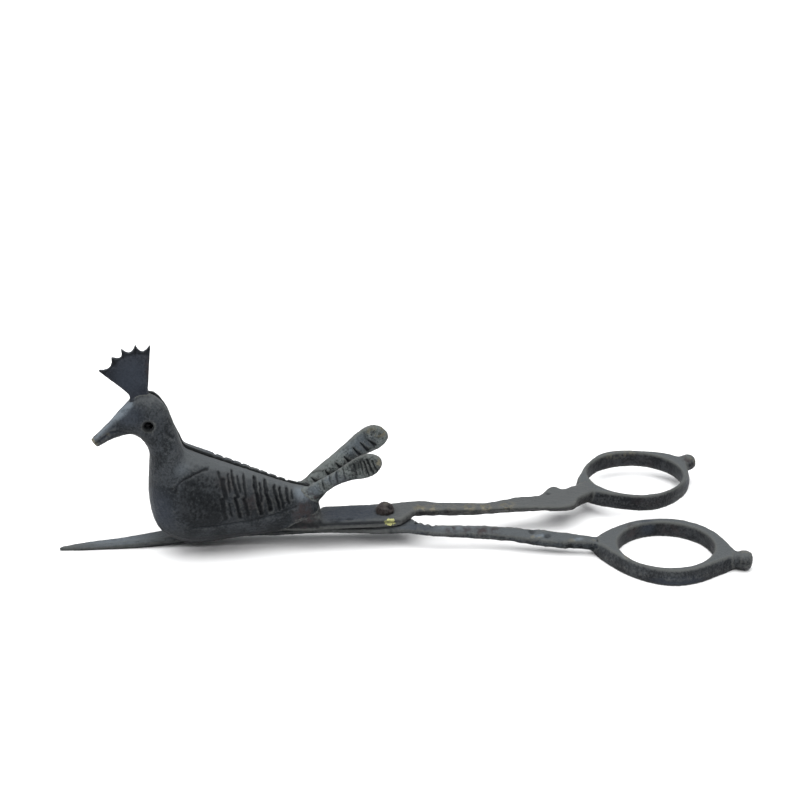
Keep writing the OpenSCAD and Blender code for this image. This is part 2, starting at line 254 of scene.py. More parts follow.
# Outline of a wing, the line over its shoulder and the line along the flange below it, as (x, z)
WING = [
    (-53.7, 23.4), (-50.2, 25.1), (-47.6, 26.1), (-44.0, 25.4), (-34.0, 21.6),
    (-27.0, 18.4), (-23.0, 16.6), (-22.8, 13.6), (-30.0, 12.0), (-36.2, 11.2),
    (-43.0, 10.9), (-51.0, 10.9), (-53.8, 13.3), (-54.9, 16.9),
]
SHOULDER_LINE = [(-55.2, 20.2), (-54.6, 22.4), (-53.0, 24.0), (-50.3, 25.1), (-46.4, 25.9)]
FLANGE_LINE = [(-51.0, 10.9), (-43.0, 10.9), (-36.2, 11.2), (-30.0, 12.0), (-23.7, 13.3)]
# Outline of the ground that is punched with dots
PUNCHED = [(-53.2, 22.6), (-49.0, 24.6), (-43.8, 24.0), (-42.8, 12.4), (-50.6, 11.6), (-53.6, 15.0)]
# Feathers as chiselled cuts: path, half width and depth
FEATHERS = [
    ([(-43.6, 24.6), (-42.6, 21.0)], 0.4, 0.22),
    ([(-42.7, 22.8), (-42.0, 18.6)], 0.75, 0.38),
    ([(-41.2, 23.8), (-40.9, 19.8)], 0.3, 0.3),
    ([(-40.2, 24.0), (-39.6, 21.0)], 0.38, 0.4),
    ([(-39.8, 21.8), (-38.8, 18.3)], 0.42, 0.42),
    ([(-38.6, 22.9), (-38.1, 19.4)], 0.33, 0.3),
    ([(-37.2, 22.7), (-36.7, 17.8)], 0.36, 0.34),
    ([(-34.3, 21.5), (-34.0, 18.4), (-32.7, 12.8)], 0.52, 0.6),
    ([(-33.0, 20.3), (-32.6, 16.2)], 0.28, 0.3),
    ([(-31.7, 20.5), (-31.3, 18.0), (-30.3, 13.4)], 0.5, 0.6),
    ([(-29.3, 18.9), (-28.1, 13.4)], 0.42, 0.5),
    ([(-27.9, 18.4), (-26.9, 13.6)], 0.36, 0.42),
    ([(-26.1, 18.0), (-25.6, 14.5)], 0.38, 0.4),
    ([(-24.8, 17.4), (-24.5, 15.6)], 0.32, 0.3),
    ([(-42.9, 18.2), (-42.2, 12.4)], 0.6, 0.34),
    ([(-41.2, 16.8), (-40.6, 13.4)], 0.3, 0.26),
    ([(-39.5, 18.2), (-38.4, 12.6)], 0.45, 0.55),
    ([(-37.3, 17.5), (-36.2, 13.0)], 0.45, 0.5),
]
# How much wider and deeper the feathers are cut, and how far and over what length their depth swings
FEATHER_SPREAD, FEATHER_DEEPENING, FEATHER_SWING, SWING_SIZE = 1.2, 1.1, 0.5, 1.8
PANEL_DEPTH, PANEL_EDGE = 0.22, 1.1
SHOULDER_DEPTH, FLANGE_DEPTH = 0.26, 0.2
# How far and over what length the cuts waver, and the shift that gives the waver in Z its own noise
CUT_WAVER, WAVER_SIZE, NOISE_SHIFT = 0.22, 1.4, 50
# The punched dots, and how ragged and how soft the edge of their ground is
PUNCH_SIZE, PUNCH_DEPTH, PUNCH_RIM, PUNCH_SHAPE = 0.75, 0.18, (0.1, 0.55), (1, 1, 0.6)
PUNCH_RAGGED, RAGGED_SIZE, PUNCH_EDGE = 1.5, 2.0, 1.6


def wing(points):
    """Depth of a wing's carving: a sunk panel, two border lines, feathers and punched ground."""
    flat = points[:, [0, 2]]
    waver = np.stack([lumps(points, WAVER_SIZE), lumps(points + NOISE_SHIFT, WAVER_SIZE)], axis=1)
    wavering = flat + CUT_WAVER * waver
    depth = PANEL_DEPTH * inside(flat, WING, PANEL_EDGE)
    depth += SHOULDER_DEPTH * cut(wavering, SHOULDER_LINE, 0.3, 0.5)
    depth += FLANGE_DEPTH * cut(wavering, FLANGE_LINE, 0.4)
    broken = FEATHER_DEEPENING + FEATHER_SWING * lumps(points, SWING_SIZE)
    cuts = [deep * cut(wavering, path, width * FEATHER_SPREAD) for path, width, deep in FEATHERS]
    depth += broken * np.max(cuts, axis=0)
    punch = 1 - eased(*PUNCH_RIM, cells(points * PUNCH_SHAPE, PUNCH_SIZE))
    ragged = flat + PUNCH_RAGGED * lumps(points, RAGGED_SIZE)[:, None]
    return depth + PUNCH_DEPTH * punch * inside(ragged, PUNCHED, PUNCH_EDGE)


# The cleft along the beak, the lower edge of the flat along its top, and a dent in the nape, as (x, z)
MOUTH = [(-66.8, 35.9), (-69.0, 36.7), (-71.2, 36.0), (-75.0, 32.8)]
BEAK_FLAT = [(-64.4, 45.6), (-76.4, 34.6), (-75.2, 33.6), (-70.8, 38.2), (-67.0, 41.2), (-65.0, 43.6)]
NAPE_DENT = [(-56.6, 36.4), (-55.0, 34.4)]
MOUTH_DEPTH, BEAK_FLAT_DEPTH, NAPE_DEPTH = 0.26, 0.16, 0.28


def head(points):
    """Depth of the carving on one side of the head: the beak's cleft and flat, and a dent at the nape."""
    flat = points[:, [0, 2]]
    depth = MOUTH_DEPTH * cut(flat, MOUTH, 0.3, 0.5) + BEAK_FLAT_DEPTH * inside(flat, BEAK_FLAT, 0.9)
    return depth + NAPE_DEPTH * cut(flat, NAPE_DENT, 1.1, 0.6)


def near_bird_half(points, normals):
    """Depth of the carving on the near half, which is on its outer side only."""
    outward = eased(0.05, 0.4, -normals[:, 1]) * (points[:, 1] < -1.5)
    return (wing(points) + head(points)) * outward


# Feather cuts over the far half's back: how many, from where to where as (x, z), and how deep
BACK_CUTS = 9
BACK_FROM, BACK_TO = np.array((-44.5, 26.8)), np.array((-26.0, 18.9))
BACK_DEPTH = 0.42


def far_bird_half(points, normals):
    """Depth of the carving on the far half: its outer side, and the feathers that run over its back."""
    outward = eased(0.05, 0.4, normals[:, 1]) * (points[:, 1] > 0.8)
    depth = (wing(points) + head(points)) * outward
    flat = points[:, [0, 2]]
    over_back = np.clip(normals[:, 2] + normals[:, 1], 0, 1) * (points[:, 1] > 0.1)
    for i in range(BACK_CUTS):
        x, z = BACK_FROM + (BACK_TO - BACK_FROM) * i / (BACK_CUTS - 1)
        reach = 4 + 1.5 * math.sin(2.3 * i)
        stroke = cut(flat, [(x, z + 0.6), (x + 0.5, z - reach)], 0.7, 0.35)
        depth = np.maximum(depth, BACK_DEPTH * stroke * over_back)
    return depth


# ---------------------------------------------------------------- tails and crest

# Strokes across the near tail's outer face, from upper to lower edge: path, half width and depth
TAIL_STROKES = [
    ([(-8.6, 26.0), (-7.9, 22.6)], 0.7, 0.35),
    ([(-7.5, 26.8), (-6.7, 22.8)], 0.28, 0.3),
    ([(-6.9, 27.2), (-5.9, 22.8)], 0.28, 0.35),
    ([(-6.1, 27.4), (-4.7, 23.0)], 0.42, 0.45),
    ([(-5.3, 28.0), (-3.5, 23.7)], 0.45, 0.5),
    ([(-4.0, 27.8), (-2.5, 24.6)], 0.36, 0.4),
    ([(-11.4, 24.6), (-10.9, 21.4)], 0.7, 0.3),
    ([(-13.2, 23.2), (-12.7, 20.2)], 0.8, 0.36),
    ([(-15.0, 21.8), (-14.4, 19.2)], 0.6, 0.3),
    ([(-16.9, 20.2), (-16.2, 17.8)], 0.7, 0.34),
]
# Chisel nicks in the far tail's inner face: the point of each wedge, and the middle of its open end
TAIL_NICKS = [
    ((-19.3, 18.3), (-17.8, 17.0)),
    ((-15.6, 19.8), (-14.3, 18.2)),
    ((-12.7, 21.3), (-11.4, 19.9)),
    ((-10.4, 22.7), (-9.2, 21.2)),
    ((-8.0, 24.7), (-6.2, 22.4)),
    ((-6.0, 25.8), (-4.0, 23.2)),
    ((-4.0, 26.3), (-2.0, 24.4)),
]
NICK_DEPTH, NICK_WIDTHS = 0.6, (0.2, 0.75)
# How much further along X the strokes lie on the far tail
FAR_TAIL_SHIFT = 2.6
STROKE_WAVER, STROKE_WAVER_SIZE = 0.15, 1.5


def tail_strokes(points, shift):
    """Depth of the strokes across a tail, moved along X by a shift and a little uneven."""
    waver = STROKE_WAVER * lumps(points, STROKE_WAVER_SIZE)
    flat = points[:, [0, 2]] - (shift, 0) + waver[:, None]
    return np.max([deep * cut(flat, path, width) for path, width, deep in TAIL_STROKES], axis=0)


def near_tail(points, normals):
    """Depth of the strokes on the near tail's outer face."""
    return tail_strokes(points, 0) * eased(-0.1, 0.4, -normals[:, 1])


def far_tail(points, normals):
    """Depth of the nicks in the far tail's inner face, and of the strokes on its outer face."""
    wedges = [cut(points[:, [0, 2]], pair, *NICK_WIDTHS) for pair in TAIL_NICKS]
    nicks = NICK_DEPTH * np.max(wedges, axis=0)
    strokes = tail_strokes(points, FAR_TAIL_SHIFT)
    return nicks * eased(0.1, 0.5, -normals[:, 1]) + strokes * eased(0.1, 0.5, normals[:, 1])


# Points of the crest's scalloped edge and its foot, as (x, z)
CREST_POINTS = [(-59.9, 58.9), (-63.6, 59.5), (-67.2, 58.6), (-69.7, 56.4), (-73.2, 53.1)]
CREST_FOOT = (-64.0, 45.0)
# The X from which its right side bends back, how steeply, and the heights over which the bend begins
CREST_BEND, CREST_LEAN, CREST_BEND_RISE = -61.6, 0.55, (46, 50)
# The band along the scallops sinks between these shares of the way from the foot to the points
CREST_BAND = (0.80, 0.86)
CREST_BAND_DEPTH = 0.3
# The lines cover this last share of the way to their points
CREST_LINE_SHARE, CREST_LINE_DEPTH = 0.24, 0.16


def crest_fan(points, normals):
    """Depth of the chasing on the crest: a band sunk along its edge, and lines to its middle points."""
    flat = points[:, [0, 2]]
    foot = np.array(CREST_FOOT)
    tips = np.array(CREST_POINTS)
    away, reach = flat - foot, tips - foot
    heading, reach_heading = [np.arctan2(run[:, 1], run[:, 0]) for run in (away, reach)]
    length = np.interp(heading, reach_heading, np.linalg.norm(reach, axis=1))
    band = CREST_BAND_DEPTH * eased(*CREST_BAND, np.linalg.norm(away, axis=1) / length)
    paths = [[tip + (foot - tip) * CREST_LINE_SHARE, tip] for tip in tips[1:4]]
    lines = np.max([cut(flat, path, 0.35) for path in paths], axis=0)
    return (band + CREST_LINE_DEPTH * lines) * eased(0.3, 0.8, -normals[:, 1])


def bent_crest(points):
    """The crest's right side bent a little away from the near side."""
    bend = eased(*CREST_BEND_RISE, points[:, 2])
    points[:, 1] += CREST_LEAN * np.maximum(points[:, 0] - CREST_BEND, 0) * bend
    return points


# ---------------------------------------------------------------- levers, rings, knobs and rivet

# Nicks and worn hollows in the levers: centre, radius and depth
LOWER_NICKS = [
    ((8.2, -2.8, 6.1), 1.0, 0.4), ((10.2, -3.8, 6.0), 0.8, 0.35), ((12.2, -4.6, 5.9), 1.0, 0.4),
    ((38.3, -9.4, 5.6), 1.6, 0.3), ((42.0, -11.4, 5.2), 1.6, 0.3), ((47.8, -13.9, 2.4), 1.5, 0.5),
    ((50.6, -14.6, 2.2), 1.3, 0.5), ((53.2, -15.2, 2.0), 1.5, 0.5), ((55.6, -13.9, 4.5), 1.4, 0.3),
]
UPPER_NICKS = [
    ((44.0, -1.4, 7.4), 1.4, 0.3), ((51.4, 2.6, 5.6), 1.6, 0.35), ((45.0, 7.8, 7.4), 1.2, 0.3),
    ((33.0, -0.2, 7.4), 1.8, 0.2), ((17.0, 0.2, 7.6), 1.6, 0.2),
    ((-13.5, -3.6, 8.1), (3.4, 1.6, 1.0), 0.22), ((-9.5, -3.2, 8.1), (2.2, 1.2, 1.0), 0.2),
    ((-7.0, 0.8, 8.1), (2.0, 2.4, 1.0), 0.12),
]
# The plate's worn near edge, as (y, z), how much is worn off it, and the depth of the plate's corrosion
PLATE_EDGE = [(-5.4, 8.2), (-5.3, 8.0)]
PLATE_ROUNDING, PLATE_PITTING = 0.4, 0.12
# Hammered dimples: the share of their size at which the skin is level, their sizes and their depths
DIMPLE_RIM = 0.6
SHANK_DIMPLE, RIVET_DIMPLE = 3.0, 1.7
LOWER_DIMPLES, UPPER_DIMPLES, RIVET_DIMPLES = 0.3, 0.2, 0.3
# The X values over which each shank's hammer marks begin, and over which the plate's wear ends
LOWER_SHANK, UPPER_SHANK, PLATE_END = (10, 16), (8, 12), (2, 8)
# The chip in the rivet's side: centre, radius and depth
RIVET_CHIP = ((1.6, -1.0, 10.2), 1.5, 0.25)
# Depths of the rings' waves and file marks, and of the knobs' lumps and cells
RING_WAVES, FILE_MARKS = 0.10, 0.08
KNOB_LUMPS, KNOB_CELLS = 0.10, 0.05
# The rough casting: depths of its waves, lumps and dimples
CAST_WAVES, CAST_LUMPS, CAST_DIMPLES = 0.03, 0.05, 0.1


def nicked(points, nicks):
    """Depth of the deepest nick at each point."""
    return np.max([deep * ball(points, centre, radius) for centre, radius, deep in nicks], axis=0)


def dimpled(points, size):
    """A hammered skin: above 0 in a dimple's middle, and below 0 between dimples."""
    return DIMPLE_RIM - cells(points, size)


def lower_lever(points, normals):
    """Depth of the nicks in the lower lever, and of the hammer marks on its shank."""
    hammered = LOWER_DIMPLES * dimpled(points, SHANK_DIMPLE) * eased(*LOWER_SHANK, points[:, 0])
    return nicked(points, LOWER_NICKS) + hammered


def upper_lever(points, normals):
    """Depth of the upper lever's nicks, its shank's hammer marks, and its plate's corrosion and wear."""
    hammered = UPPER_DIMPLES * dimpled(points, SHANK_DIMPLE) * eased(*UPPER_SHANK, points[:, 0])
    plate = 1 - eased(*PLATE_END, points[:, 0])
    corroded = PLATE_PITTING * np.maximum(lumps(points, 1.3, 3), 0) * plate
    rounded = PLATE_ROUNDING * cut(points[:, [1, 2]], PLATE_EDGE, 1.5) * plate
    return nicked(points, UPPER_NICKS) + hammered + corroded + rounded


def finger_ring(points, normals):
    """A cast ring: shallow waves along it, and lengthwise file marks round its walls."""
    filed = np.maximum(lumps(points * (0.25, 0.25, 1.6), 1.2), 0) * (1 - np.abs(normals[:, 2]))
    return RING_WAVES * np.maximum(lumps(points, 4.0), 0) + FILE_MARKS * filed


def ring_knob(points, normals):
    """A knob's uneven casting."""
    return KNOB_LUMPS * np.abs(lumps(points, 1.5, 3)) + KNOB_CELLS * cells(points, 1.0)


def pivot_rivet(points, normals):
    """A peened head: hammered dimples and a chipped side."""
    return RIVET_DIMPLES * dimpled(points, RIVET_DIMPLE) + nicked(points, [RIVET_CHIP])


def cast_surface(points):
    """How far the rough casting strays inside its pattern: slow waves, small lumps and dimples."""
    waves = CAST_WAVES * lumps(points, 5)
    small_lumps = CAST_LUMPS * lumps(points, 1.1, 3)
    return waves + small_lumps + CAST_DIMPLES * (0.5 - cells(points, 4.0))


# Each node's carving, which gets the piece's points and normals
CARVING = {
    "near_bird_half": near_bird_half, "far_bird_half": far_bird_half, "near_tail": near_tail,
    "far_tail": far_tail, "crest_fan": crest_fan, "lower_lever": lower_lever, "upper_lever": upper_lever,
    "lower_finger_ring": finger_ring, "upper_finger_ring": finger_ring, "lower_ring_knob": ring_knob,
    "upper_ring_knob": ring_knob, "pivot_rivet": pivot_rivet,
}


# ---------------------------------------------------------------- stains

# Stains by node: kind, centre, radius and strength. Warm is red-brown, cool is blue, tan is rubbed metal,
# bare is bright brass, and pale is smooth worn oxide together with painted sheen on faces that catch the light.
STAINS = {
    "near_bird_half": [
        ("cool", (-58.5, -6, 15), (6, 8, 10), 0.9), ("cool", (-66, -4, 41), (6, 5, 4.5), 0.8),
        ("cool", (-72, -3, 37), (5, 4, 4), 0.8), ("warm", (-35, -8, 16), (5, 4, 4), 0.7),
        ("warm", (-42, -7, 22), (3.5, 4, 3.5), 0.7), ("warm", (-22, -5, 10.5), (3.6, 6, 7), 1.0),
        ("tan", (-75.8, -3, 33), 2.0, 1.0), ("tan", (-71.5, -3, 35.6), 1.3, 0.7),
        # The pale patch on the shoulder at X -53.5 is painted light where the shoulder turns up
        ("pale", (-21.5, -4, 16.6), (4, 4, 3), 0.6), ("pale", (-53.5, -5, 26), (4, 5, 3), 0.3),
    ],
    "far_bird_half": [
        ("cool", (-58, 7, 16), (6, 8, 10), 0.8), ("warm", (-35, 8, 16), (6, 4, 5), 0.6),
        ("warm", (-20, 4, 12), (4, 5, 7), 0.8), ("tan", (-75.6, 2, 32), 2.4, 1.0),
        ("cool", (-42, 2, 26), (14, 4, 5), 0.8),
    ],
    "near_tail": [
        ("tan", (-2.4, -9.5, 27.0), (0.9, 3, 2.2), 0.9), ("warm", (-20.5, -3, 15), (4, 4, 3), 1.0),
        ("warm", (-12, -6, 21), 3, 0.4), ("pale", (-14, -5, 21.6), (7, 4, 3), 0.45),
        ("pale", (-19, -4, 17.5), 3, 0.5),
    ],
    "far_tail": [
        ("tan", (-0.4, 8, 28), (3, 3, 1.9), 1.0), ("tan", (-3.2, 8, 28.6), (2.5, 3, 1.6), 0.5),
        ("warm", (-19, 2, 17), 4, 0.7), ("pale", (-8, 6, 25.5), (9, 5, 4.5), 0.4),
    ],
    "crest_fan": [
        ("warm", (-60.3, -3, 53), (1.4, 3, 7), 0.8), ("cool", (-65, -3, 51), (6, 3, 7), 0.9),
    ],
    "upper_lever": [
        ("tan", (9.5, 1.6, 8.2), 2.4, 0.9), ("tan", (13.5, 2.0, 8.0), 2.6, 0.9),
        ("tan", (18, 1.8, 8), 2.2, 0.4), ("tan", (22.5, 1.8, 7.8), 2.8, 0.8),
        ("tan", (27, 1.8, 7.8), 2.8, 0.9), ("tan", (33, 2, 7.7), 3, 0.7),
        ("bare", (1.0, -4.9, 7.7), (2.0, 1.9, 1.9), 1.0),
        ("warm", (-21.5, -5, 9), (4.2, 5, 6), 1.0), ("cool", (-9, 0, 8), (14, 9, 3), 1.0),
    ],
    "lower_lever": [
        ("warm", (17, -6.4, 5.6), 2.2, 0.9), ("warm", (21, -6.9, 5.5), 2.2, 0.7),
        ("warm", (25, -7.4, 5.5), 2.4, 0.9), ("warm", (28.6, -8, 5.2), 2, 0.8),
        # Tan and pale marks on the shank's facets from X 39 to 56: rubbed metal with a painted glint
        ("tan", (39, -11.4, 5.0), (2.2, 0.9, 0.8), 0.6),
        ("tan", (48.5, -13.4, 4.4), (1.8, 0.9, 0.9), 0.4),
        ("tan", (54.2, -13.6, 4.4), (1.6, 1.2, 0.9), 0.4), ("cool", (8, -5, 5), (8, 3, 2), 0.8),
        ("pale", (-72, 2, 3), (14, 4, 3), 0.5), ("pale", (40.5, -11.2, 5.2), (3.4, 0.9, 0.8), 0.7),
        ("pale", (50, -13.4, 4.6), (2.0, 0.8, 0.8), 0.7),
        ("pale", (55.4, -13.6, 4.4), (2.0, 0.8, 0.7), 0.7),
        ("pale", (20, -5.6, 5.9), (9, 1.6, 1.2), 0.5),
    ],
    "lower_finger_ring": [
        ("warm", (65.2, -6.6, 3), (2.6, 3, 2.6), 0.9), ("cool", (70, -4.4, 3), (3, 3, 3), 0.9),
        ("warm", (77, -5.5, 2), (6, 3, 3), 0.5), ("cool", (72, -33, 1), (16, 4, 2.2), 0.9),
        # A rubbed edge with a painted glint along the ring's inner top edge
        ("tan", (61.0, -22, 4.3), (1.0, 3.2, 0.7), 1.0),
        ("pale", (60.6, -22.5, 4.3), (1.2, 3.4, 0.5), 0.8),
    ],
    "upper_finger_ring": [
        ("tan", (69, 32, 7.2), (7, 3, 2), 0.5), ("warm", (73, 4.2, 6), (8, 3, 3), 0.4),
        ("warm", (72, 31, 4), (10, 3, 3), 0.4), ("cool", (85, 16, 6), (3, 7, 3), 0.6),
    ],
    "lower_ring_knob": [
        ("tan", (92, -24.5, 4), 2.5, 0.4), ("warm", (89, -24, 3), 4, 0.3),
    ],
    "upper_ring_knob": [
        ("warm", (87, 27, 6), 4, 0.7), ("tan", (88.5, 28, 7), 2.2, 0.5),
    ],
    "pivot_rivet": [
        ("warm", (0, 0, 10), 3.5, 0.9), ("tan", (0.4, -0.4, 10.9), 1.0, 0.6),
    ],
}
STAIN_CHANNEL = {"warm": 0, "cool": 1, "tan": 2, "bare": 3, "pale": 4}
# Sides that face the other half of the bird and get painted shade, as the direction in Y that they face
SHADED_INNER_SIDE = {"near_bird_half": 1, "far_bird_half": -1}
# Distances from the seam between the halves over which the painted shade along the seam ends
SEAM_EDGE = (0.3, 1.0)
# Middle of the eyes as (x, z), and the distances from it over which the painted shade in the eye hole ends
EYE = (-61.2, 38.2)
EYE_EDGE = (1.3, 2.0)
# Soot on the wing's punched ground, and painted shade on what faces down
PANEL_SOOT = 0.08
UNDERSIDE_SHADE = 0.6
# Passes of blurring: the level that relief is measured from, the relief itself, and the upward slope
LEVEL_BLUR, RELIEF_BLUR, UPWARD_BLUR = 10, 5, 6


def blurred(values, edges, passes):
    """Rows of values, each pass taken half way to their neighbours' mean."""
    return relaxed(values, edges, passes, shares=(0.5,))


def store(mesh, name, values):
    """Numbers kept with a mesh's vertices, for its material to read."""
    mesh.attributes.new(name, "FLOAT", "POINT").data.foreach_set("value", values)


def paint(mesh, node, points, normals, edges, depth):
    """Stores each vertex's stains, how proud it stands, how far it faces up, and its sooty hollows and painted
    shade.
    """
    flat = points[:, [0, 2]]
    stains = np.zeros((len(points), len(STAIN_CHANNEL)))
    for kind, centre, radius, strength in STAINS[node]:
        channel = STAIN_CHANNEL[kind]
        stains[:, channel] = np.maximum(stains[:, channel], strength * ball(points, centre, radius))
    pale = stains[:, STAIN_CHANNEL["pale"]].copy()
    # A painted highlight on the flat along the beak's top
    if node == "near_bird_half":
        pale = np.maximum(pale, inside(flat, BEAK_FLAT, 0.7))
    colours = mesh.attributes.new("stains", "FLOAT_COLOR", "POINT")
    colours.data.foreach_set("color", stains[:, :4].ravel())
    store(mesh, "pale", pale)

    level = blurred(points, edges, LEVEL_BLUR)
    relief = np.clip(np.sum((points - level) * normals, axis=1) / RELIEF_SCALE, -1, 1)
    store(mesh, "relief", blurred(relief[:, None], edges, RELIEF_BLUR)[:, 0])
    upward = blurred(normals, edges, UPWARD_BLUR)[:, 2]
    store(mesh, "upward", upward)

    soot_and_shade = np.clip(depth / CUT_SCALE, 0, 1)
    # Painted shade under faces that turn down
    soot_and_shade = np.maximum(soot_and_shade, UNDERSIDE_SHADE * eased(0, 0.6, -upward))
    # Painted shade on the halves' inner faces, in the eye holes and along the seam between the halves
    if node in SHADED_INNER_SIDE:
        soot_and_shade = np.maximum(soot_and_shade, eased(0.2, 0.6, normals[:, 1] * SHADED_INNER_SIDE[node]))
        soot_and_shade = np.maximum(soot_and_shade, 1 - eased(*EYE_EDGE, np.linalg.norm(flat - EYE, axis=1)))
        soot_and_shade = np.maximum(soot_and_shade, 1 - eased(*SEAM_EDGE, np.abs(points[:, 1])))
        soot_and_shade = np.minimum(soot_and_shade + PANEL_SOOT * inside(flat, PUNCHED, 1.5), 1)
    store(mesh, "soot_and_shade", soot_and_shade)


# ---------------------------------------------------------------- materials

def add(tree, kind, inputs=None, **settings):
    """A new node with its inputs set to numbers or linked to sockets."""
    made = tree.nodes.new(kind)
    for name, value in settings.items():
        setattr(made, name, value)
    for name, value in (inputs or {}).items():
        if isinstance(value, bpy.types.NodeSocket):
            tree.links.new(value, made.inputs[name])
        else:
            made.inputs[name].default_value = value
    return made


def mixed(tree, factor, a, b):
    """Colour a turned into colour b by a factor."""
    names = {"Factor": 0, "A": 6, "B": 7}
    made = tree.nodes.new("ShaderNodeMix")
    made.data_type = "RGBA"
    for name, value in (("Factor", factor), ("A", a), ("B", b)):
        socket = made.inputs[names[name]]
        if isinstance(value, bpy.types.NodeSocket):
            tree.links.new(value, socket)
        else:
            socket.default_value = value if name == "Factor" else (*value, 1)
    return made.outputs[2]


def ramped(tree, value, low, high, to_low=0.0, to_high=1.0):
    """A value eased from one range into another."""
    inputs = {"Value": value, "From Min": low, "From Max": high, "To Min": to_low, "To Max": to_high}
    return add(tree, "ShaderNodeMapRange", inputs, interpolation_type="SMOOTHSTEP").outputs[0]


def combined(tree, operation, a, b):
    """Two values put together by a maths node."""
    made = tree.nodes.new("ShaderNodeMath")
    made.operation = operation
    for socket, value in zip(made.inputs, (a, b)):
        if isinstance(value, bpy.types.NodeSocket):
            tree.links.new(value, socket)
        else:
            socket.default_value = value
    return made.outputs[0]


def plus(tree, a, b):
    return combined(tree, "ADD", a, b)


def times(tree, a, b):
    return combined(tree, "MULTIPLY", a, b)


def grain(tree, place, size, detail=4.0, roughness=0.6):
    """Noise with lumps of the given size in millimetres."""
    inputs = {"Vector": place, "Scale": 1 / (size * MM), "Detail": detail, "Roughness": roughness}
    return add(tree, "ShaderNodeTexNoise", inputs).outputs["Fac"]


# Colours of the stains, of worn edges, and of sooty hollows and painted shade
WARM = (0.030, 0.023, 0.024)
COOL = (0.026, 0.032, 0.043)
WORN = (0.085, 0.088, 0.084)
TAN = (0.15, 0.14, 0.105)
BARE = (0.45, 0.45, 0.19)
PALE = (0.14, 0.165, 0.19)
SOOT_AND_SHADE = (0.004, 0.005, 0.006)
OXIDE_SHEEN = 0.1
# Sizes of the oxide's marks and the height of its bump, in millimetres, and the pits' share of the bump
CLOUDS, PATCHES, SPECKLES, SCRAPES, PITS = 6, 1.6, 0.6, 0.9, 0.8
BUMP_HEIGHT = 0.3
PIT_SHARE = 0.25
# How far the speckles swing the roughness in all
ROUGHNESS_SWING = 0.3


def stained_skin(tree, place, dark, light, worn_and_lit_top, wear):
    """The oxide's colour, its speckles, and how far it is bare metal.

    Layers, in order: clouds, tops paled by rubbing and painted light, stains, wear, bare brass, sooty hollows and
    painted shade.
    """
    marks = {}
    for name in ("relief", "soot_and_shade", "upward", "pale"):
        marks[name] = add(tree, "ShaderNodeAttribute", attribute_name=name).outputs["Fac"]
    stained = add(tree, "ShaderNodeAttribute", attribute_name="stains").outputs
    warm, cool, tan = add(tree, "ShaderNodeSeparateColor", {"Color": stained["Color"]}).outputs
    bare = stained["Alpha"]
    cloudy = ramped(tree, grain(tree, place, CLOUDS), 0.35, 0.65)
    patchy = ramped(tree, grain(tree, place, PATCHES, detail=6), 0.4, 0.62)
    speckled = grain(tree, place, SPECKLES, detail=5, roughness=0.75)
    uneven = plus(tree, speckled, patchy)

    mottled = plus(tree, times(tree, cloudy, 0.4), times(tree, speckled, 2.0))
    colour = mixed(tree, ramped(tree, mottled, 0.95, 1.5), dark, light)
    # Paler tops: rubbing, together with painted light on faces that turn up
    facing = plus(tree, marks["upward"], times(tree, speckled, 0.5))
    colour = mixed(tree, ramped(tree, facing, 0.4, 1.2), colour, worn_and_lit_top)
    colour = mixed(tree, times(tree, cool, times(tree, speckled, 1.6)), colour, COOL)
    colour = mixed(tree, times(tree, marks["pale"], ramped(tree, uneven, 0.0, 0.9)), colour, PALE)
    colour = mixed(tree, times(tree, warm, patchy), colour, WARM)

    raised = plus(tree, marks["relief"], times(tree, speckled, 1.2))
    colour = mixed(tree, times(tree, ramped(tree, raised, 0.7, 1.4), wear), colour, WORN)
    tanned = times(tree, tan, ramped(tree, uneven, 0.6, 1.3))
    colour = mixed(tree, tanned, colour, TAN)
    ragged = plus(tree, bare, times(tree, grain(tree, place, SCRAPES), 4.0))
    scraped = times(tree, ramped(tree, ragged, 2.45, 2.65), ramped(tree, bare, 0.05, 0.25))
    colour = mixed(tree, scraped, colour, BARE)

    sunk = ramped(tree, times(tree, marks["relief"], -1.0), 0.2, 1.0, 0.0, 0.5)
    # Black from soot in cuts and hollows, and from painted shade
    soot_and_shade_share = ramped(tree, marks["soot_and_shade"], 0.15, 0.95, 0.0, 0.85)
    colour = mixed(tree, combined(tree, "MAXIMUM", sunk, soot_and_shade_share), colour, SOOT_AND_SHADE)
    return colour, speckled, ramped(tree, plus(tree, tanned, scraped), 0.0, 1.0, 0.0, 0.85)


def patina(name, dark, light, worn_and_lit_top, wear=0.6, roughness=0.45):
    """Aged brass: mottled oxide, tops paled by rubbing and painted light, sooty hollows, painted shade, rubbed and
    stained.
    """
    material = bpy.data.materials.new(name)
    material.use_nodes = True
    tree = material.node_tree
    tree.nodes.clear()
    place = add(tree, "ShaderNodeTexCoord").outputs["Object"]
    colour, speckled, metal = stained_skin(tree, place, dark, light, worn_and_lit_top, wear)
    cells_at = {"Vector": place, "Scale": 1 / (PITS * MM)}
    pits = add(tree, "ShaderNodeTexVoronoi", cells_at).outputs["Distance"]
    height = plus(tree, speckled, times(tree, ramped(tree, pits, 0.0, 0.35), PIT_SHARE))
    bump = add(tree, "ShaderNodeBump", {"Height": height, "Strength": 1.0, "Distance": BUMP_HEIGHT * MM})
    skin = add(tree, "ShaderNodeBsdfPrincipled", {
        "Base Color": colour,
        "Metallic": metal,
        "Roughness": plus(tree, times(tree, speckled, ROUGHNESS_SWING), roughness - ROUGHNESS_SWING / 2),
        "Normal": bump.outputs["Normal"],
        "Specular IOR Level": OXIDE_SHEEN,
    })
    add(tree, "ShaderNodeOutputMaterial", {"Surface": skin.outputs["BSDF"]})
    return material


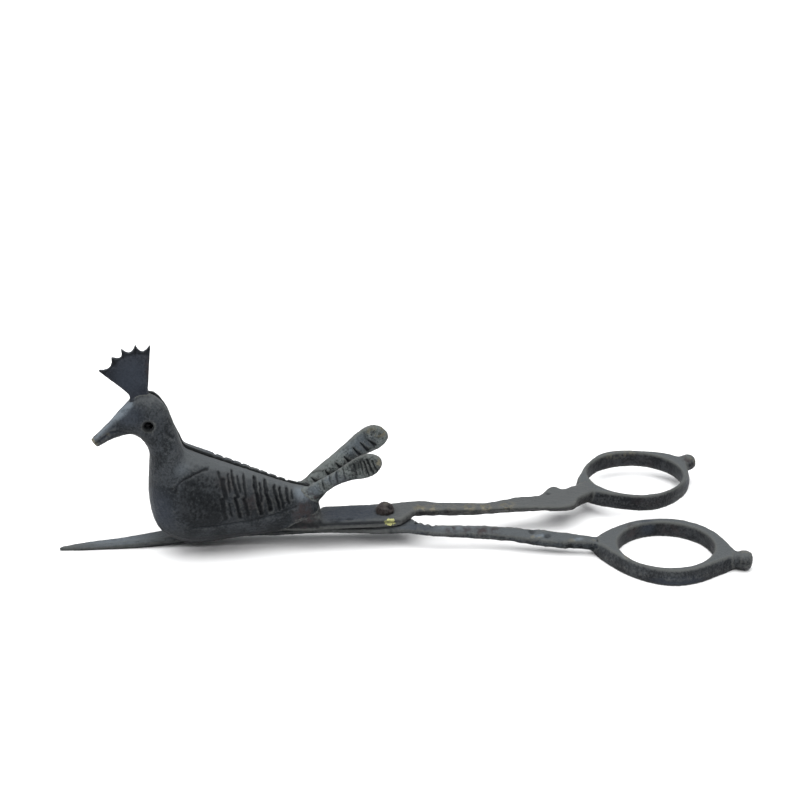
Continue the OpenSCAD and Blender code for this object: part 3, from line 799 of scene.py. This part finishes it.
# Each patina's dark oxide, its light oxide and its colour where it faces up, which is rubbing with painted light
# on top. Two of them also say how far their edges are worn, and one of these how rough it is.
PATINAS = {
    "blue_patina": ((0.008, 0.011, 0.014), (0.035, 0.041, 0.047), (0.066, 0.073, 0.078)),
    "dark_patina": ((0.008, 0.009, 0.011), (0.031, 0.034, 0.037), (0.070, 0.076, 0.079)),
    "bird_patina": ((0.008, 0.010, 0.012), (0.031, 0.035, 0.040), (0.070, 0.076, 0.080)),
    "tail_patina": ((0.016, 0.019, 0.019), (0.130, 0.145, 0.142), (0.120, 0.134, 0.132), 0.8),
    "rivet_brown": ((0.010, 0.008, 0.008), (0.034, 0.028, 0.027), (0.046, 0.040, 0.038)),
    "brown_patina": ((0.008, 0.009, 0.010), (0.031, 0.033, 0.034), (0.072, 0.076, 0.077)),
    "crest_blue": ((0.011, 0.013, 0.018), (0.027, 0.031, 0.039), (0.030, 0.034, 0.040), 0.25, 0.6),
}
MATERIALS = {name: patina(name, *looks) for name, looks in PATINAS.items()}
SLOTS = {
    "lower_lever": "blue_patina", "lower_finger_ring": "dark_patina", "lower_ring_knob": "dark_patina",
    "far_bird_half": "bird_patina", "far_tail": "tail_patina", "pivot_rivet": "rivet_brown",
    "upper_lever": "brown_patina", "upper_finger_ring": "dark_patina", "upper_ring_knob": "dark_patina",
    "near_bird_half": "bird_patina", "near_tail": "tail_patina", "crest_fan": "crest_blue",
}


# ---------------------------------------------------------------- pieces

def meets_other_lever(points, normals):
    """True on faces that slide on the other lever, or that look across the seam at it."""
    x, y, z = points.T
    level, across = np.abs(normals[:, 2]), np.abs(normals[:, 1])
    sliding = (level > SLIDING_NORMAL) & (np.abs(z - LEVER_CONTACT) < SLIDING_REACH) & (x < SLIDING_END)
    facing = (across > FACING_NORMAL) & (np.abs(y) < FACING_REACH) & (x < FACING_END)
    return sliding | facing


def make_piece(node, body, casting, neighbours):
    """The carved and painted piece that stands for one CAD node."""
    mesh = remeshed([NODES[node].data], VOXEL.get(node, USUAL_VOXEL))
    mesh.name = node + "_cast"
    points, edges = read_points(mesh), read_edges(mesh)
    if neighbours:
        points = blended(points, casting, tree_of(neighbours))
    points = relaxed(points, edges, SMOOTHING)
    if node == "crest_fan":
        points = bent_crest(points)
    write_points(mesh, points)
    normals = read_normals(mesh)
    depth = CARVING[node](points, normals)
    rough = cast_surface(points) * FINISH.get(node, 1)
    grown = rough - GROWTH.get(node, USUAL_GROWTH)
    skin = np.where(meets_other_lever(points, normals), np.maximum(rough, MEETING_GAP), grown)
    points = points - normals * (depth + skin)[:, None]
    points = np.clip(points, BOX_LOW, BOX_HIGH)
    write_points(mesh, points)
    mesh.polygons.foreach_set("use_smooth", np.ones(len(mesh.polygons), bool))
    paint(mesh, node, points, read_normals(mesh), edges, depth)
    mesh.materials.append(MATERIALS[SLOTS[node]])
    piece = bpy.data.objects.new(node + "_cast", mesh)
    bpy.context.scene.collection.objects.link(piece)
    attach(piece, body)
    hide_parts(node)


for body, members in BODIES.items():
    cast_nodes = [node for node in members if node != "pivot_rivet"]
    casting = casting_skin([NODES[node].data for node in cast_nodes])
    for node in members:
        others = [NODES[other].data for other in cast_nodes if other != node]
        make_piece(node, body, casting, others if node in cast_nodes else None)


# ---------------------------------------------------------------- camera, light and floor

# The camera's direction, its distance in metres, and the sensor and lens in millimetres
VIEW_AZIMUTH = math.radians(-5)
VIEW_ELEVATION = math.radians(24)
VIEW_DISTANCE = 0.6
AIM_FROM_PIVOT = Vector((0.0046, 0.0152, 0.0347))
SENSOR = 36
LENS = 101.7
# Each light's place in metres, size in metres and power in watts
LIGHTS = {
    "overhead": ((-0.1, -0.4, 1.75), 3.2, 100),
    "side": ((-1.4, -0.1, 1.0), 0.6, 3),
}
# The floor's radius in metres, and the size of its faint lumps in millimetres
FLOOR_RADIUS = 6
FLOOR_LUMPS = 40
FLOOR_DARK = (0.86, 0.86, 0.86)
FLOOR_LIGHT = (0.90, 0.90, 0.90)
WORLD_COLOUR = (0.95, 0.97, 1.0, 1)
# The room's strength where it is dark and where it is bright
WORLD_STRENGTHS = (0.05, 0.5)


def make_camera():
    """The photograph's view: from the near side, a little to the left, looking down on the object."""
    pivot = Vector(PIVOT) * MM
    back = Vector((
        math.sin(VIEW_AZIMUTH) * math.cos(VIEW_ELEVATION),
        -math.cos(VIEW_AZIMUTH) * math.cos(VIEW_ELEVATION),
        math.sin(VIEW_ELEVATION),
    ))
    right = Vector((math.cos(VIEW_AZIMUTH), math.sin(VIEW_AZIMUTH), 0))
    camera = bpy.data.objects.new("camera", bpy.data.cameras.new("camera"))
    camera.data.sensor_width = SENSOR
    camera.data.lens = LENS
    camera.data.clip_start = 0.01
    camera.data.clip_end = 100
    turn = Matrix((right, back.cross(right), back)).transposed()
    stand = pivot + AIM_FROM_PIVOT + back * VIEW_DISTANCE
    camera.matrix_world = Matrix.Translation(stand) @ turn.to_4x4()
    bpy.context.scene.collection.objects.link(camera)
    bpy.context.scene.camera = camera


def make_light(name, place, size, power):
    """A square soft light, facing the table under the object's middle."""
    light = bpy.data.lights.new(name, "AREA")
    light.size = size
    light.energy = power
    lamp = bpy.data.objects.new(name, light)
    lamp.location = place
    lamp.rotation_euler = Vector(place).to_track_quat("Z", "Y").to_euler()
    bpy.context.scene.collection.objects.link(lamp)


def make_floor():
    """A pale floor under the object, with a faint unevenness so that it isn't one flat colour."""
    shape = bmesh.new()
    bmesh.ops.create_circle(shape, cap_ends=True, segments=96, radius=FLOOR_RADIUS)
    mesh = bpy.data.meshes.new("floor")
    shape.to_mesh(mesh)
    shape.free()
    floor = bpy.data.objects.new("floor", mesh)
    bpy.context.scene.collection.objects.link(floor)
    material = bpy.data.materials.new("floor_paint")
    material.use_nodes = True
    tree = material.node_tree
    place = add(tree, "ShaderNodeTexCoord").outputs["Object"]
    shade = mixed(tree, grain(tree, place, FLOOR_LUMPS), FLOOR_DARK, FLOOR_LIGHT)
    tree.links.new(shade, tree.nodes["Principled BSDF"].inputs["Base Color"])
    tree.nodes["Principled BSDF"].inputs["Roughness"].default_value = 0.7
    mesh.materials.append(material)


def make_world():
    """A pale room, dark in front of the object where the camera stands, and bright above and behind."""
    world = bpy.data.worlds.new("studio")
    world.use_nodes = True
    tree = world.node_tree
    towards = add(tree, "ShaderNodeTexCoord").outputs["Generated"]
    split = add(tree, "ShaderNodeSeparateXYZ", {"Vector": towards}).outputs
    shade = plus(tree, split["Z"], times(tree, split["Y"], 0.6))
    bright = ramped(tree, shade, -0.35, 0.9, *WORLD_STRENGTHS)
    background = tree.nodes["Background"].inputs
    background["Color"].default_value = WORLD_COLOUR
    tree.links.new(bright, background["Strength"])
    bpy.context.scene.world = world


make_camera()
make_floor()
make_world()
for light_name, (light_place, light_size, light_power) in LIGHTS.items():
    make_light(light_name, light_place, light_size, light_power)
bpy.context.scene.view_settings.view_transform = "Standard"
